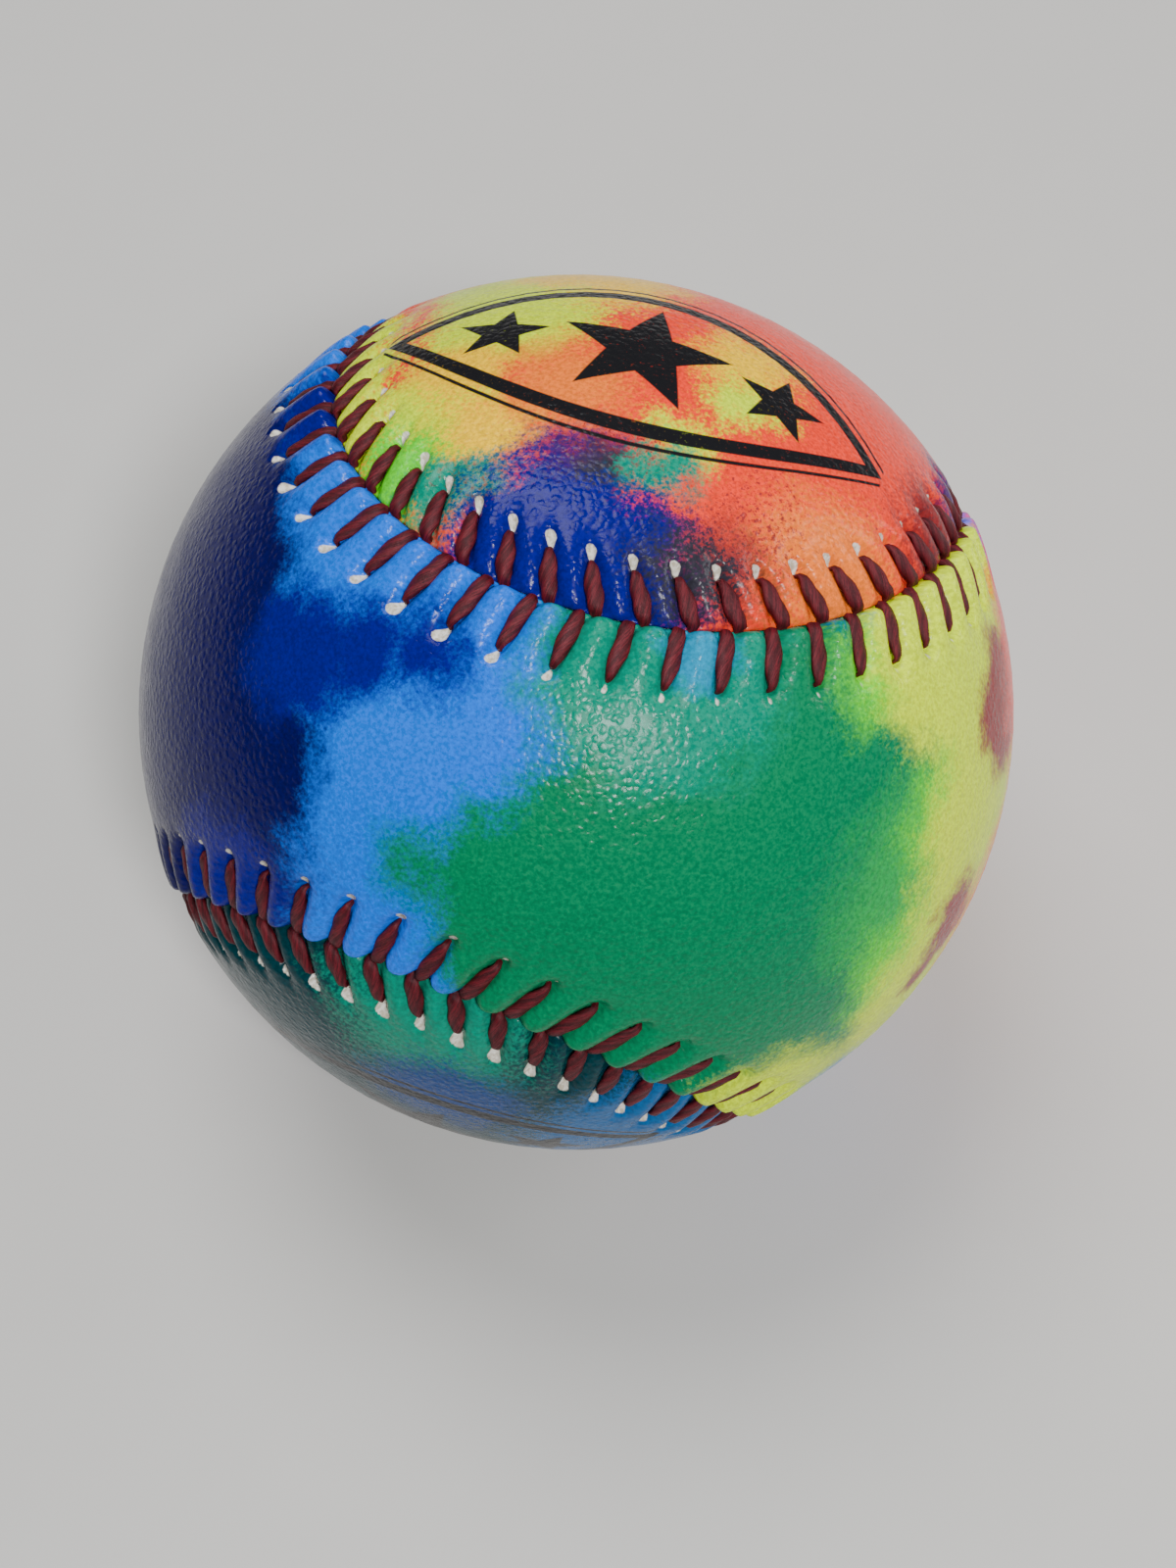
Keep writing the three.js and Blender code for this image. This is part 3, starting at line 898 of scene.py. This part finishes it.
# inside and outside radius, yarn width, how deep the yarn shows, number of turns laid over each other
windings = [
    ("greyWoolFirst", "winding_1_grey_wool", "grey_wool", 17.75, 31.2, 1.7, 0.5, 190),
    ("whiteWool", "winding_2_white_wool", "white_wool", 31.5, 32.95, 1.5, 0.4, 220),
    ("greyWoolSecond", "winding_3_grey_wool", "grey_wool", 33.25, 34.4, 1.3, 0.35, 260),
    ("cottonFinish", "winding_4_cotton", "white_cotton", 34.7, 35.1, 0.8, 0.14, 420),
]
windingRows = 170
windingSides = 300
openPole = 4.0  # degrees, where the yarn's end is tucked in


def woundYarn(directions, radius, width, turns, seed):
    # each new turn lies over the ones before; gives the yarn's roundness and a place along and across it
    chooser = np.random.default_rng(seed)
    shape = directions.shape[:-1]
    roundness = np.zeros(shape)
    strand = np.zeros((*shape, 3))
    for turn in range(turns):
        axis = unit(chooser.normal(size=3))
        level = chooser.uniform(-0.3, 0.3)
        across = (directions @ axis - level) * radius / (width / 2)
        start = unit(np.cross(axis, chooser.normal(size=3)))
        along = np.arctan2(directions @ np.cross(axis, start), directions @ start) * radius / width
        covered = np.abs(across) < 1
        bulge = np.sqrt(np.clip(1 - across**2, 0, 1))
        roundness = np.where(covered, bulge, roundness)
        here = np.stack([along, across, np.full(shape, float(turn))], axis=-1)
        strand = np.where(covered[..., None], here, strand)
    return roundness, strand


def makeWinding(index, name, node, slotName, inside, outside, width, depth, turns, material):
    top = math.pi / 2 - math.radians(openPole)
    angles = np.linspace(-math.pi / 2, top, windingRows)
    outer = spun([(math.cos(angle), math.sin(angle)) for angle in angles], windingSides)
    roundness, strand = woundYarn(outer, outside, width, turns, 20 + index)
    radius = (outside - depth * (1 - roundness)) * mm
    innerAngles = np.linspace(top, -math.pi / 2, 24)
    inner = spun([(math.cos(angle), math.sin(angle)) for angle in innerAngles], windingSides)
    rings = np.concatenate([outer * radius[..., None], inner * inside * mm])
    # the hidden inside is laid with the yarn running round
    rest = np.stack([inner[..., 0] * inside, inner[..., 2] * inside, inner[..., 1] * inside], axis=-1)
    strands = np.concatenate([strand, rest]).reshape(-1, 3)
    rounded = np.concatenate([roundness, np.ones(inner.shape[:-1])]).ravel()
    winding = ringMesh(name, rings, material, {"roundness": rounded}, {"strand": strands})
    standIn(winding, node)


def corkMaterial():
    material, tree, shader = startMaterial("pressedCork")
    direction = onBall(tree)
    cells = add(tree, "TexVoronoi", {"Vector": direction, "Scale": 11.0})
    tint = add(tree, "SeparateColor", {0: cells.outputs["Color"]}).outputs[0]
    colour = mixColour(tree, tint, rgba((0.36, 0.19, 0.08)), rgba((0.58, 0.36, 0.17)))
    pores = noise(tree, direction, 30.0, 5.0, 0.7, seed=2.0).outputs[0]
    colour = mixColour(tree, ramp(tree, pores, 0.55, 0.68), colour, rgba((0.10, 0.045, 0.02)))
    colour = mixColour(tree, attribute(tree, "granule"), rgba((0.14, 0.07, 0.03)), colour)
    tree.links.new(colour, shader.inputs["Base Color"])
    tree.links.new(ramp(tree, pores, 0.3, 0.7, 0.8, 0.95), shader.inputs["Roughness"])
    bump = add(tree, "Bump", {"Height": pores, "Strength": 0.6, "Distance": 0.15 * mm})
    tree.links.new(bump.outputs[0], shader.inputs["Normal"])
    return material


def rubberMaterial(name, base, bloom):
    # moulded rubber with a chalky bloom and a fine pitted skin
    material, tree, shader = startMaterial(name)
    direction = onBall(tree)
    cloudy = noise(tree, direction, 3.0, 5.0, 0.6, seed=1.0).outputs[0]
    pits = noise(tree, direction, 70.0, 3.0, 0.6, seed=8.0).outputs[0]
    colour = mixColour(tree, ramp(tree, cloudy, 0.42, 0.75), rgba(base), rgba(bloom))
    pitted = ramp(tree, pits, 0.6, 0.75, 0.0, 0.5)
    dark = rgba([0.5 * channel for channel in base])
    colour = mixColour(tree, pitted, colour, dark)
    tree.links.new(colour, shader.inputs["Base Color"])
    tree.links.new(ramp(tree, cloudy, 0.3, 0.7, 0.5, 0.78), shader.inputs["Roughness"])
    bump = add(tree, "Bump", {"Height": pits, "Strength": 0.5, "Distance": 0.06 * mm})
    tree.links.new(bump.outputs[0], shader.inputs["Normal"])
    return material


def yarnMaterial(name, pale, dark, flecks):
    # twisted plies run slantwise over the yarn, with loose fibres between them
    material, tree, shader = startMaterial(name)
    strand = attribute(tree, "strand", "Vector")
    roundness = attribute(tree, "roundness")
    split = add(tree, "SeparateXYZ", {0: strand})
    slant = math1(tree, "MULTIPLY_ADD", split.outputs[1], 1.6, math1(tree, "MULTIPLY", split.outputs[0], 5.0))
    plies = math1(tree, "SINE", slant)
    stretched = add(tree, "VectorMath", {0: strand, 1: (1.0, 5.0, 3.0)}, operation="MULTIPLY").outputs[0]
    fibres = noise(tree, stretched, 3.0, 5.0, 0.7, seed=3.0).outputs[0]
    turnTone = noise(tree, add(tree, "CombineXYZ", {2: split.outputs[2]}).outputs[0], 1.7, 1.0).outputs[0]
    colour = mixColour(tree, turnTone, rgba(dark), rgba(pale))
    fleckShare = ramp(tree, fibres, 0.56, 0.66, 0.0, 0.7)
    colour = mixColour(tree, fleckShare, colour, rgba(flecks))
    # painted shade: darker in the grooves between the plies and where the yarn curves down at the edges of
    # each turn
    between = ramp(tree, plies, -1.0, -0.3, 0.45, 0.0)
    shaded = math1(tree, "MAXIMUM", between, ramp(tree, roundness, 0.0, 0.6, 0.65, 0.0))
    valley = rgba([0.3 * channel for channel in dark])
    colour = mixColour(tree, shaded, colour, valley)
    tree.links.new(colour, shader.inputs["Base Color"])
    tree.links.new(ramp(tree, fibres, 0.3, 0.7, 0.85, 0.98), shader.inputs["Roughness"])
    height = math1(tree, "MULTIPLY_ADD", plies, 0.35, fibres)
    bump = add(tree, "Bump", {"Height": height, "Strength": 0.7, "Distance": 0.12 * mm})
    tree.links.new(bump.outputs[0], shader.inputs["Normal"])
    shader.inputs["Sheen Weight"].default_value = 0.3
    return material


makeCork(corkMaterial())
redRubber = rubberMaterial("redRubber", (0.33, 0.035, 0.025), (0.42, 0.09, 0.07))
blackRubber = rubberMaterial("blackRubber", (0.012, 0.012, 0.013), (0.045, 0.044, 0.043))
makeGasket(redRubber)
makeHalfShells("innerRubberShell", "inner_rubber_shell", centre["innerShell"], blackRubber)
makeHalfShells("outerRubberShell", "outer_rubber_shell", centre["outerShell"], redRubber)
greyWool = yarnMaterial("greyWool", (0.30, 0.29, 0.27), (0.15, 0.145, 0.14), (0.55, 0.52, 0.47))
whiteWool = yarnMaterial("whiteWool", (0.78, 0.74, 0.64), (0.60, 0.56, 0.47), (0.86, 0.83, 0.76))
cotton = yarnMaterial("whiteCotton", (0.86, 0.84, 0.78), (0.74, 0.71, 0.63), (0.90, 0.88, 0.84))
yarns = {"grey_wool": greyWool, "white_wool": whiteWool, "white_cotton": cotton}
for index, winding in enumerate(windings):
    makeWinding(index, *winding, yarns[winding[2]])
print("cork, rubber and yarn are in place")
